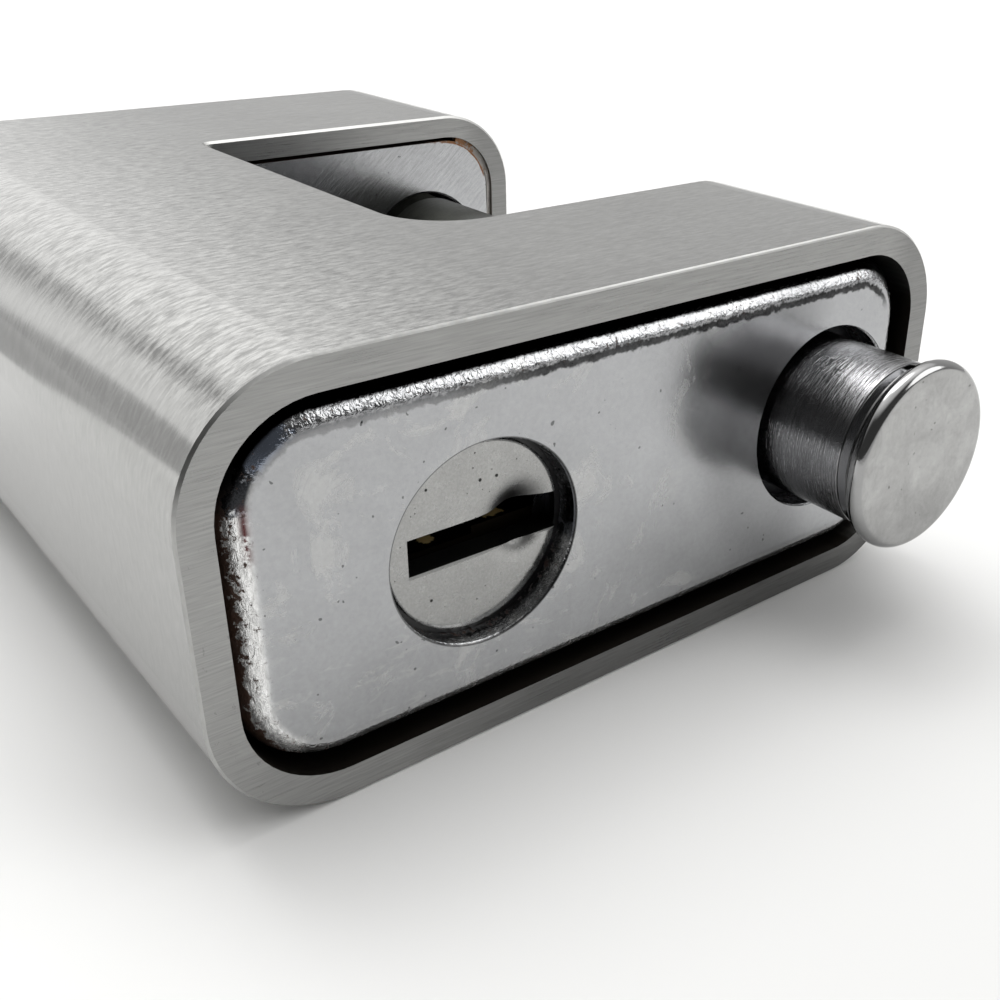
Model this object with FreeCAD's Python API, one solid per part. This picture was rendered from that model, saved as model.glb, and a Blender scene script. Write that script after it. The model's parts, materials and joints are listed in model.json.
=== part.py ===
import FreeCAD, Part
import math
import os
from FreeCAD import Vector

os.makedirs("parts", exist_ok=True)

# Closed shackle padlock: a steel sleeve round a core, with a straight bolt across a notch.
# Millimetres. X runs along the bolt to the key end, Y towards the open side, Z is up.
# The origin is on the flat underside, in the middle of the base between notch and closed side.

# Sleeve
sleeve_length = 88.0
sleeve_width = 68.0
sleeve_height = 32.0
sleeve_wall = 2.4
closed_corner_radius = 9.6
open_corner_radius = 8.8
end_edge_chamfer = 0.2
notch_edge_chamfer = 0.25

# Notch between the two legs
near_leg = 20.7
notch_width = 42.7
notch_depth = 38.5
near_notch_corner_radius = 6.2
far_notch_corner_radius = 1.2

# Core
core_side_gap = 0.5
core_recess = 0.5
core_notch_recess = 0.4
core_rim_radius = 2.3
core_rim_steps = 3
mouth_chamfer = 0.2

# Bolt
bolt_axis_to_open_side = 12.0
bolt_radius = 7.0
bolt_fit = 0.05
far_bore_clearance = 0.3
far_bore_chamfer = 0.3
head_radius = 7.9
head_fit = 0.1
head_length = 2.75
head_taper_length = 1.2
head_front_round = 0.75
head_round_steps = 3
head_seat_gap = 0.1
bolt_stand_out = 10.4
bolt_tip_chamfer = 0.8
far_end_wall = 3.7
bolt_end_gap = 0.8
bolt_clear_of_notch = 1.5

# Groove that the latch enters, and slot that the stop pin runs in
latch_groove_depth = 2.8
latch_groove_side_gap = 0.3
stop_slot_depth = 2.0
stop_pin_radius = 2.0
stop_pin_fit = 0.1
stop_pin_from_notch = 7.4
stop_pin_end_gap = 0.4

# Key cylinder
plug_axis_to_closed_side = 21.4
plug_axis_drop = 0.6
plug_radius = 6.5
plug_length = 29.0
plug_fit = 0.04
keyway_height = 2.2
keyway_depth_to_pins = 5.0
keyway_ward = 0.6

# Slotted guard disc in front of the plug, with the ring that keeps it in
disc_mouth_radius = 7.7
disc_face_depth = 1.25
disc_face_radius = 7.15
disc_step = 1.35
disc_flange_thickness = 1.0
disc_fit = 0.05
disc_to_plug = 0.05
disc_slot_height = 3.05
disc_slot_reach = 5.65
dish_radius = 3.2
dish_ball_radius = 3.5
dish_offset = 3.4
ring_thickness = 0.6
ring_inner_gap = 0.1
ring_groove_depth = 0.4
ring_fit = 0.05
ring_opening = 3.0

# Pin stacks
pin_count = 5
pin_pitch = 4.4
first_pin_from_plug_face = 5.0
pin_radius = 1.45
pin_hole_fit = 0.05
key_pin_lengths = [2.6, 3.8, 3.2, 4.4, 3.0]
driver_length = 4.0
shear_gap = 0.06
spring_wire = 0.5
spring_turns = 3
spring_sides_per_turn = 6
spring_side_gap = 0.15
cover_thickness = 1.6
cover_height = 4.6
cover_overlap = 2.4

# Tail shaft with eccentric, and the latch that it drives
tail_radius = 3.7
tail_fit = 0.05
tongue_thickness = 3.0
tongue_length = 3.0
latch_travel = 3.0
eccentric_pin_radius = 1.4
eccentric_fit = 0.15
latch_radius = 4.0
latch_fit = 0.05
latch_nose_radius = 2.0
latch_nose_length = 7.6
latch_to_bolt = 0.4
latch_to_tip = 0.8
latch_heel = 3.2
latch_bore_cap_length = 3.0

# Pins that hold the core in the sleeve
core_pin_radius = 2.0
core_pin_length = 9.0
core_pin_spacing = 36.0
core_pin_from_closed_side = 13.0
core_pin_end_recess = 0.2
press_fit_gap = 0.01

# Places that follow from the sizes
front_x = sleeve_length / 2
back_x = -sleeve_length / 2
mid_z = sleeve_height / 2
closed_y = -(sleeve_width - notch_depth) / 2
open_y = closed_y + sleeve_width
near_face_x = front_x - near_leg
far_face_x = near_face_x - notch_width
notch_base_y = open_y - notch_depth
core_inset = sleeve_wall + core_side_gap
core_front_x = front_x - core_recess
core_back_x = back_x + core_recess
core_closed_y = closed_y + core_inset
core_under_z = core_inset
bolt_y = open_y - bolt_axis_to_open_side
plug_y = closed_y + plug_axis_to_closed_side
plug_z = mid_z - plug_axis_drop

# Bolt, from its head face to its tip, standing out as it does unlocked
bolt_head_x = core_front_x + bolt_stand_out
head_back_x = bolt_head_x - head_length
bolt_bore_end_x = core_back_x + far_end_wall
bolt_tip_home_x = bolt_bore_end_x + bolt_end_gap
bolt_tip_x = bolt_tip_home_x + bolt_stand_out
bolt_draw = near_face_x + bolt_clear_of_notch - bolt_tip_x
latch_x = bolt_tip_x - latch_to_tip - latch_nose_radius
latch_groove_x = latch_x + bolt_stand_out
stop_pin_x = near_face_x + stop_pin_from_notch

# Key cylinder from its disc back to the tail shaft
disc_face_x = core_front_x - disc_face_depth
disc_flange_x = disc_face_x - disc_step
disc_back_x = disc_flange_x - disc_flange_thickness
disc_flange_radius = disc_mouth_radius - disc_fit
ring_back_x = disc_flange_x + ring_fit
plug_face_x = disc_back_x - disc_to_plug
plug_back_x = plug_face_x - plug_length
tail_end_x = latch_x + latch_radius + latch_fit + 0.1
pin_xs = [plug_face_x - first_pin_from_plug_face - i * pin_pitch for i in range(pin_count)]
cover_floor_y = core_closed_y + cover_thickness
driver_end_y = plug_y - plug_radius - shear_gap
latch_tip_y = bolt_y - bolt_radius - latch_to_bolt
latch_shoulder_y = latch_tip_y - latch_nose_length
eccentric_offset = latch_travel / 2
eccentric_y = plug_y - eccentric_offset
latch_heel_y = eccentric_y - eccentric_pin_radius - eccentric_fit - latch_heel

X = Vector(1, 0, 0)
Y = Vector(0, 1, 0)
Z = Vector(0, 0, 1)


def rod(x, y, z, radius, length, direction):
    """A round bar that starts at a point and runs along a direction."""
    return Part.makeCylinder(radius, length, Vector(x, y, z), direction)


def block(x0, x1, y0, y1, z0, z1):
    """A box between two corners."""
    return Part.makeBox(x1 - x0, y1 - y0, z1 - z0, Vector(x0, y0, z0))


def turned(profile, y, z):
    """A profile of (x, radius) points turned about a line along X."""
    points = [Vector(x, y, z + r) for x, r in profile]
    face = Part.Face(Part.makePolygon(points + points[:1]))
    return face.revolve(Vector(0, y, z), X, 360)


def section_wire(x, inset):
    """The rounded outline of the sleeve at one x, drawn in by an inset."""
    y0 = closed_y + inset
    y1 = open_y - inset
    z0 = inset
    z1 = sleeve_height - inset
    rc = closed_corner_radius - inset
    ro = open_corner_radius - inset
    s = math.sqrt(0.5)

    def at(y, z):
        return Vector(x, y, z)

    edges = [
        Part.LineSegment(at(y0 + rc, z0), at(y1 - ro, z0)).toShape(),
        Part.Arc(at(y1 - ro, z0), at(y1 - ro + ro * s, z0 + ro - ro * s), at(y1, z0 + ro)).toShape(),
        Part.LineSegment(at(y1, z0 + ro), at(y1, z1 - ro)).toShape(),
        Part.Arc(at(y1, z1 - ro), at(y1 - ro + ro * s, z1 - ro + ro * s), at(y1 - ro, z1)).toShape(),
        Part.LineSegment(at(y1 - ro, z1), at(y0 + rc, z1)).toShape(),
        Part.Arc(at(y0 + rc, z1), at(y0 + rc - rc * s, z1 - rc + rc * s), at(y0, z1 - rc)).toShape(),
        Part.LineSegment(at(y0, z1 - rc), at(y0, z0 + rc)).toShape(),
        Part.Arc(at(y0, z0 + rc), at(y0 + rc - rc * s, z0 + rc - rc * s), at(y0 + rc, z0)).toShape(),
    ]
    return Part.Wire(edges)


def bar(x0, x1, inset):
    """A solid bar with the sleeve's outline, drawn in by an inset."""
    return Part.Face(section_wire(x0, inset)).extrude(X * (x1 - x0))


def notch_cutter(offset):
    """The notch between the legs, grown by an offset, with round inner corners."""
    x0 = far_face_x - offset
    x1 = near_face_x + offset
    y0 = notch_base_y - offset
    cutter = block(x0, x1, y0, open_y + 5, -5, sleeve_height + 5)
    for x, radius in [(x0, far_notch_corner_radius), (x1, near_notch_corner_radius)]:
        cutter = cutter.makeFillet(radius + offset, edges_through(cutter, Vector(x, y0, mid_z)))
    return cutter


def edges_through(shape, middle):
    """The edges of a shape whose middle is at a place."""
    return [edge for edge in shape.Edges if edge.CenterOfMass.distanceToPoint(middle) < 1e-6]


def edges_across(shape, x):
    """The edges of a shape that lie in the plane across the bolt at x."""
    found = []
    for edge in shape.Edges:
        box = edge.BoundBox
        if abs(box.XMin - x) < 1e-4 and abs(box.XMax - x) < 1e-4:
            found.append(edge)
    return found


def round_edges(shape):
    """The closed circular edges of a shape."""
    return [edge for edge in shape.Edges if len(edge.Vertexes) == 1]


def core_pin_places():
    """Where the two pins hold the core."""
    y = closed_y + core_pin_from_closed_side
    return [(-core_pin_spacing / 2, y), (core_pin_spacing / 2, y)]


def make_sleeve():
    outer = bar(back_x, front_x, 0)
    ends = edges_across(outer, front_x) + edges_across(outer, back_x)
    outer = outer.makeChamfer(end_edge_chamfer, ends)
    notched = outer.cut(notch_cutter(0))
    notched = notched.makeChamfer(notch_edge_chamfer, notch_rim_edges(notched))
    sleeve = notched.cut(bar(back_x - 1, front_x + 1, sleeve_wall))
    for x, y in core_pin_places():
        sleeve = sleeve.cut(rod(x, y, -1, core_pin_radius + press_fit_gap, sleeve_wall + 2, Z))
    return sleeve


def notch_rim_edges(shape):
    """The outer edges where the notch breaks through the sleeve's faces."""
    found = []
    for edge in shape.Edges:
        box = edge.BoundBox
        inside_x = box.XMin > far_face_x - 1e-4 and box.XMax < near_face_x + 1e-4
        across_base = box.YMin < notch_base_y + near_notch_corner_radius + 1e-4 and box.ZLength < 1e-4
        beside_legs = box.XLength < 1e-4
        on_corner = box.YMin > notch_base_y + 1e-4 or across_base
        if inside_x and on_corner and (across_base or beside_legs):
            found.append(edge)
    return found


def bolt_bore():
    """The bolt's bore through the near leg and into the far leg, with the seat for its head."""
    split_x = (near_face_x + far_face_x) / 2
    near = rod(split_x, bolt_y, mid_z, bolt_radius + bolt_fit, sleeve_length, X)
    far_radius = bolt_radius + far_bore_clearance
    mouth_x = far_face_x - core_notch_recess
    far = turned([
        (bolt_bore_end_x, 0),
        (bolt_bore_end_x, far_radius),
        (mouth_x - far_bore_chamfer, far_radius),
        (mouth_x + 1, far_radius + far_bore_chamfer + 1),
        (mouth_x + 1, 0),
    ], bolt_y, mid_z)
    seat_radius = head_radius + head_fit
    seat_x = core_front_x - head_length - head_seat_gap
    return near.fuse([far, mouth_cutter(bolt_y, mid_z, seat_x, seat_radius)])


def mouth_cutter(y, z, floor_x, radius):
    """A flat-bottomed round seat in the key face, with a small chamfer at its mouth."""
    profile = [
        (floor_x, 0),
        (floor_x, radius),
        (core_front_x - mouth_chamfer, radius),
        (core_front_x + 1, radius + mouth_chamfer + 1),
        (core_front_x + 1, 0),
    ]
    return turned(profile, y, z)


def cylinder_bore():
    """The bore for the guard disc, its ring, the plug and the tail shaft."""
    mouth = mouth_cutter(plug_y, plug_z, disc_back_x, disc_mouth_radius)
    groove_radius = disc_mouth_radius + ring_groove_depth
    groove = rod(ring_back_x - ring_fit, plug_y, plug_z, groove_radius, ring_thickness + 2 * ring_fit, X)
    plug = rod(plug_back_x, plug_y, plug_z, plug_radius + plug_fit, disc_back_x - plug_back_x, X)
    tail = rod(latch_x, plug_y, plug_z, tail_radius + tail_fit, plug_back_x - latch_x, X)
    return mouth.fuse([groove, plug, tail])


def chamber_bores():
    """The pin chambers and the channel for the strip that closes them."""
    depth = plug_y - core_closed_y
    bores = [rod(x, core_closed_y, plug_z, pin_radius + pin_hole_fit, depth, Y) for x in pin_xs]
    return cover_blank(press_fit_gap).fuse(bores)


def latch_bore():
    """The wide bore for the latch, drilled from the closed side, and the nose hole."""
    wide_end_y = latch_shoulder_y + latch_travel + 0.5
    wide = rod(latch_x, core_closed_y - 1, plug_z, latch_radius + latch_fit, wide_end_y - core_closed_y + 1, Y)
    nose = rod(latch_x, wide_end_y - 1, plug_z, latch_nose_radius + latch_fit, bolt_y - wide_end_y + 1, Y)
    return wide.fuse(nose)


def core_blank():
    """The core's bar with a rounded rim at both ends, lofted through its outlines."""
    outlines = []
    for step in range(core_rim_steps + 1):
        angle = math.pi / 2 * step / core_rim_steps
        set_back = core_rim_radius * (1 - math.cos(angle))
        inset = core_inset + core_rim_radius * (1 - math.sin(angle))
        outlines.append((set_back, inset))
    front = [section_wire(core_front_x - set_back, inset) for set_back, inset in outlines]
    back = [section_wire(core_back_x + set_back, inset) for set_back, inset in reversed(outlines)]
    return Part.makeLoft(front + back, True, True)


def make_core():
    core = core_blank().cut(notch_cutter(core_notch_recess))
    core = core.cut(bolt_bore())
    core = core.cut(cylinder_bore())
    core = core.cut(chamber_bores())
    core = core.cut(latch_bore())
    core = core.cut(rod(stop_pin_x, bolt_y, 0, stop_pin_radius + press_fit_gap, mid_z, Z))
    for x, y in core_pin_places():
        core = core.cut(rod(x, y, 0, core_pin_radius + press_fit_gap, core_pin_length + core_pin_end_recess, Z))
    return core


def make_core_pin(index):
    x, y = core_pin_places()[index]
    return rod(x, y, core_pin_end_recess, core_pin_radius, core_pin_length, Z)


def make_stop_pin():
    top_z = mid_z - bolt_radius + stop_slot_depth - stop_pin_end_gap
    return rod(stop_pin_x, bolt_y, core_under_z, stop_pin_radius, top_z - core_under_z, Z)


def head_front_profile():
    """Points round the front edge of the bolt's head."""
    r = head_front_round
    points = []
    for step in range(head_round_steps + 1):
        angle = math.pi / 2 * step / head_round_steps
        points.append((bolt_head_x - r + r * math.sin(angle), head_radius - r + r * math.cos(angle)))
    return points


def make_bolt():
    groove_half = latch_nose_radius + latch_groove_side_gap
    groove_radius = bolt_radius - latch_groove_depth
    profile = [
        (bolt_tip_x, 0),
        (bolt_tip_x, bolt_radius - bolt_tip_chamfer),
        (bolt_tip_x + bolt_tip_chamfer, bolt_radius),
        (latch_groove_x - groove_half, bolt_radius),
        (latch_groove_x - groove_half, groove_radius),
        (latch_groove_x + groove_half, groove_radius),
        (latch_groove_x + groove_half, bolt_radius),
        (head_back_x, bolt_radius),
        (head_back_x + head_taper_length, head_radius),
    ]
    profile += head_front_profile()
    profile.append((bolt_head_x, 0))
    return turned(profile, bolt_y, mid_z).cut(stop_slot())


def stop_slot():
    """The long slot under the bolt that ends its travel at the stop pin."""
    half = stop_pin_radius + stop_pin_fit
    x0 = stop_pin_x - bolt_draw
    x1 = stop_pin_x + bolt_stand_out
    top_z = mid_z - bolt_radius + stop_slot_depth
    slot = block(x0, x1, bolt_y - half, bolt_y + half, 0, top_z)
    ends = [rod(x, bolt_y, 0, half, top_z, Z) for x in (x0, x1)]
    return slot.fuse(ends)


def make_disc():
    """The guard disc: stepped edge, slot out to one rim, and a round dish over the slot."""
    profile = [
        (disc_back_x, 0),
        (disc_back_x, disc_flange_radius),
        (disc_flange_x, disc_flange_radius),
        (disc_flange_x, disc_face_radius),
        (disc_face_x, disc_face_radius),
        (disc_face_x, 0),
    ]
    disc = turned(profile, plug_y, plug_z)
    half = disc_slot_height / 2
    outside_y = plug_y + disc_flange_radius + 1
    slot = block(disc_back_x - 1, disc_face_x + 1, plug_y - disc_slot_reach, outside_y, plug_z - half, plug_z + half)
    ball_lift = math.sqrt(dish_ball_radius ** 2 - dish_radius ** 2)
    ball = Part.makeSphere(dish_ball_radius, Vector(disc_face_x + ball_lift, plug_y + dish_offset, plug_z))
    return disc.cut(slot).cut(ball)


def make_disc_ring():
    """The open spring ring that sits in the bore's groove in front of the disc's flange."""
    inner = disc_face_radius + ring_inner_gap
    outer = disc_mouth_radius + ring_groove_depth - ring_fit
    ring = rod(ring_back_x, plug_y, plug_z, outer, ring_thickness, X)
    ring = ring.cut(rod(ring_back_x - 1, plug_y, plug_z, inner, ring_thickness + 2, X))
    half = ring_opening / 2
    gap = block(ring_back_x - 1, ring_back_x + 2, plug_y - outer - 1, plug_y, plug_z - half, plug_z + half)
    return ring.cut(gap)


def keyway():
    """The warded keyway, open on the side away from the pins."""
    half = keyway_height / 2
    x0 = plug_back_x - 1
    x1 = plug_face_x + 1
    inner_y = plug_y - keyway_depth_to_pins
    outer_y = plug_y + plug_radius + 1
    upper = block(x0, x1, inner_y, plug_y + 1, plug_z - half, plug_z + half - keyway_ward)
    lower = block(x0, x1, plug_y, outer_y, plug_z - half + keyway_ward, plug_z + half)
    return upper.fuse(lower)


def make_plug():
    plug = rod(plug_back_x, plug_y, plug_z, plug_radius, plug_length, X)
    plug = plug.cut(keyway())
    for x, length in zip(pin_xs, key_pin_lengths):
        plug = plug.cut(rod(x, plug_y - plug_radius - 1, plug_z, pin_radius + pin_hole_fit, length + 1.2, Y))
    return plug.cut(tongue(eccentric_fit))


def tongue(gap):
    """The flat tongue that turns the tail shaft with the plug."""
    half = tongue_thickness / 2 + gap
    side = math.sqrt(tail_radius ** 2 - (tongue_thickness / 2) ** 2) + gap
    x1 = plug_back_x + tongue_length + gap
    return block(plug_back_x - gap, x1, plug_y - half, plug_y + half, plug_z - side, plug_z + side)


def make_tail():
    tail = rod(tail_end_x, plug_y, plug_z, tail_radius, plug_back_x - tail_end_x, X)
    tail = tail.fuse(tongue(0))
    length = tail_end_x - latch_x + eccentric_pin_radius
    pin_z = plug_z - eccentric_offset
    pin = rod(tail_end_x - length, eccentric_y, pin_z, eccentric_pin_radius, length, X)
    return tail.fuse(pin).removeSplitter()


def make_latch():
    body = rod(latch_x, latch_heel_y, plug_z, latch_radius, latch_shoulder_y - latch_heel_y, Y)
    nose = rod(latch_x, latch_shoulder_y, plug_z, latch_nose_radius, latch_nose_length, Y)
    latch = body.fuse(nose).removeSplitter()
    half = eccentric_pin_radius + eccentric_fit
    reach = latch_radius + 1
    top_z = plug_z - eccentric_offset + half
    return latch.cut(block(latch_x - reach, latch_x + reach, eccentric_y - half, eccentric_y + half,
                           plug_z - reach, top_z))


def make_latch_bore_cap():
    return rod(latch_x, core_closed_y, plug_z, latch_radius, latch_bore_cap_length, Y)


def make_key_pin(index):
    """A key pin from just inside the shear line to the key's cut."""
    x = pin_xs[index]
    start_y = plug_y - math.sqrt((plug_radius - 0.02) ** 2 - pin_radius ** 2)
    tip_y = plug_y - plug_radius + key_pin_lengths[index]
    return rod(x, start_y, plug_z, pin_radius, tip_y - start_y, Y)


def make_driver(index):
    return rod(pin_xs[index], driver_end_y - driver_length, plug_z, pin_radius, driver_length, Y)


def make_spring(index):
    """A coil of square wire, in flat facets, pressed between a driver pin and the cover."""
    half = spring_wire / 2
    low = cover_floor_y + half + 0.02
    high = driver_end_y - driver_length - half - 0.02
    coil = pin_radius - spring_side_gap - half
    steps = spring_turns * spring_sides_per_turn
    rings = []
    for step in range(steps + 1):
        angle = 2 * math.pi * step / spring_sides_per_turn
        y = low + (high - low) * step / steps
        ring = []
        for dr, dy in ((-half, -half), (half, -half), (half, half), (-half, half)):
            r = coil + dr
            ring.append(Vector(pin_xs[index] + r * math.cos(angle), y + dy, plug_z + r * math.sin(angle)))
        rings.append(ring)
    faces = [facet(rings[0]), facet(rings[-1])]
    for a, b in zip(rings[:-1], rings[1:]):
        for k in range(4):
            n = (k + 1) % 4
            faces.append(facet([a[k], a[n], b[n]]))
            faces.append(facet([a[k], b[n], b[k]]))
    return Part.Solid(Part.Shell(faces))


def facet(points):
    """One flat face through its corners."""
    return Part.Face(Part.makePolygon(points + points[:1]))


def cover_blank(gap):
    """The strip that closes the pin chambers, grown by a gap at its sides."""
    x0 = pin_xs[-1] - pin_radius - cover_overlap - gap
    x1 = pin_xs[0] + pin_radius + cover_overlap + gap
    half = cover_height / 2 + gap
    return block(x0, x1, core_closed_y, cover_floor_y, plug_z - half, plug_z + half)


def make_cover():
    return cover_blank(0)


pieces = {
    "sleeve": make_sleeve(),
    "core": make_core(),
    "bolt": make_bolt(),
    "bolt_stop_pin": make_stop_pin(),
    "guard_disc": make_disc(),
    "disc_ring": make_disc_ring(),
    "plug": make_plug(),
    "tail_shaft": make_tail(),
    "latch": make_latch(),
    "latch_bore_cap": make_latch_bore_cap(),
    "chamber_cover": make_cover(),
}
for number in range(2):
    pieces["core_pin_%d" % (number + 1)] = make_core_pin(number)
for number in range(pin_count):
    pieces["key_pin_%d" % (number + 1)] = make_key_pin(number)
    pieces["driver_pin_%d" % (number + 1)] = make_driver(number)
    pieces["pin_spring_%d" % (number + 1)] = make_spring(number)

for name, shape in pieces.items():
    shape.exportStep("parts/%s.step" % name)
    print(name, len(shape.Solids), shape.isValid(), round(shape.Volume, 2))
print("bolt travel in and out", bolt_stand_out, round(bolt_draw, 3), "latch at", round(latch_x, 3))
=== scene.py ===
import json
import math

import bmesh
import bpy
import numpy as np
from mathutils import Matrix, Vector


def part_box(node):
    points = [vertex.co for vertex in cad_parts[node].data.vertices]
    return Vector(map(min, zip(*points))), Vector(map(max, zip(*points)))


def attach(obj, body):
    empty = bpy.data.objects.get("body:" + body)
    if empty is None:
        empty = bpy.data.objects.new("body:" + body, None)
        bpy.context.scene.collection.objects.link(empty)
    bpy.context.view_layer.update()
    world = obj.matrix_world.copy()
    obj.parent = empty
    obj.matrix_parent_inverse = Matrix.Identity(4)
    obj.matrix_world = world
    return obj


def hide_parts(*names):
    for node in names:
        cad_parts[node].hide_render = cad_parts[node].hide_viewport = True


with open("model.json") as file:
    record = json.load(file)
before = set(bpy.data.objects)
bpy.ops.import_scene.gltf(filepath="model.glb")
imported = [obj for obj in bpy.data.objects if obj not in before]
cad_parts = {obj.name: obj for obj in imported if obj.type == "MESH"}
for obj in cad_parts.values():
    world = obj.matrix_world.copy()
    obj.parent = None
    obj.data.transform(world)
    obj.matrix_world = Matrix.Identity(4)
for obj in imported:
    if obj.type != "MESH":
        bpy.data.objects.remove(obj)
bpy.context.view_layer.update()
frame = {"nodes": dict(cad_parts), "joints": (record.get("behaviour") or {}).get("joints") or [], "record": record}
nodes = frame["nodes"]
joints = {joint["name"]: joint for joint in frame["joints"]}

MILLIMETRE = 0.001


def in_millimetres(values):
    """Lengths of the frame in millimetres, to a thousandth."""
    return [round(value / MILLIMETRE, 3) for value in values]


def corners_of(node):
    """A node's lowest and highest corner in millimetres."""
    return [in_millimetres(corner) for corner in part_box(node)]


# Places and sizes in millimetres, in the lock's own frame. The bolt's and the key disc's axes run along X.
(_, SLEEVE_Y0, SLEEVE_Z0), (_, SLEEVE_Y1, SLEEVE_Z1) = corners_of("sleeve")
MIDDLE_Y, MIDDLE_Z = (SLEEVE_Y0 + SLEEVE_Y1) / 2, (SLEEVE_Z0 + SLEEVE_Z1) / 2
HALF_WIDTH, HALF_HEIGHT = (SLEEVE_Y1 - SLEEVE_Y0) / 2, (SLEEVE_Z1 - SLEEVE_Z0) / 2
CLOSED_CORNER, OPEN_CORNER = 9.6, 8.8
MEAN_CORNER = (CLOSED_CORNER + OPEN_CORNER) / 2

CORE_FRONT = corners_of("core")[1][0]
CORE_INSET = 2.9
CORE_RIM_RADIUS = 2.3

BOLT_TIP, BOLT_FACE = [corner[0] for corner in corners_of("bolt")]
_, BOLT_Y, BOLT_Z = in_millimetres(joints["bolt_slide"]["pos_m"])
BOLT_INWARDS, BOLT_OUTWARDS = [abs(limit) for limit in in_millimetres(joints["bolt_slide"]["range_m"])]
BOLT_RADIUS, HEAD_RADIUS = 7.0, 7.9
STOP_PIN_RADIUS = 2.0
STOP_PIN_X = corners_of("bolt_stop_pin")[1][0] - STOP_PIN_RADIUS
STOP_SLOT_HALF, STOP_SLOT_DEPTH = STOP_PIN_RADIUS + 0.1, 2.0

DISC_BACK, DISC_FACE = [corner[0] for corner in corners_of("guard_disc")]
_, DISC_Y, DISC_Z = in_millimetres(joints["disc_turn"]["pos_m"])
DISC_RADIUS = 7.22
DISC_SLOT_REACH, DISC_SLOT_HALF = 5.65, 3.05 / 2


class Value:
    """A number or colour on its way through a material; arithmetic on it adds Math nodes."""

    def __init__(self, nodes, socket):
        self.nodes = nodes
        self.socket = socket

    def maths(self, operation, *others, swap=False):
        values = [self, *others]
        if swap:
            values.reverse()
        return self.nodes.node("ShaderNodeMath", {"operation": operation}, values)

    def __add__(self, other):
        return self.maths("ADD", other)

    def __radd__(self, other):
        return self.maths("ADD", other)

    def __sub__(self, other):
        return self.maths("SUBTRACT", other)

    def __rsub__(self, other):
        return self.maths("SUBTRACT", other, swap=True)

    def __mul__(self, other):
        return self.maths("MULTIPLY", other)

    def __rmul__(self, other):
        return self.maths("MULTIPLY", other)

    def __truediv__(self, other):
        return self.maths("DIVIDE", other)

    def __rtruediv__(self, other):
        return self.maths("DIVIDE", other, swap=True)

    def __pow__(self, other):
        return self.maths("POWER", other)

    def __neg__(self):
        return self.maths("MULTIPLY", -1.0)

    def __abs__(self):
        return self.maths("ABSOLUTE")

    def larger(self, other):
        return self.maths("MAXIMUM", other)

    def smaller(self, other):
        return self.maths("MINIMUM", other)

    def rise(self, low, high):
        """0 below low, 1 above high, a smooth step between; low may be the larger."""
        settings = {"interpolation_type": "SMOOTHSTEP"}
        return self.nodes.node("ShaderNodeMapRange", settings, [self, low, high, 0.0, 1.0])


class Nodes:
    """A node tree that is filled through one method."""

    def __init__(self, tree):
        self.tree = tree
        tree.nodes.clear()

    def node(self, kind, settings=None, inputs=(), output=0):
        """Adds a node: its settings first, then the values or links of its sockets."""
        made = self.tree.nodes.new(kind)
        for key, value in (settings or {}).items():
            setattr(made, key, value)
        pairs = inputs.items() if isinstance(inputs, dict) else enumerate(inputs)
        for key, value in pairs:
            if isinstance(value, Value):
                self.tree.links.new(value.socket, made.inputs[key])
            else:
                made.inputs[key].default_value = value
        return None if output is None else Value(self, made.outputs[output])


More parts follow.
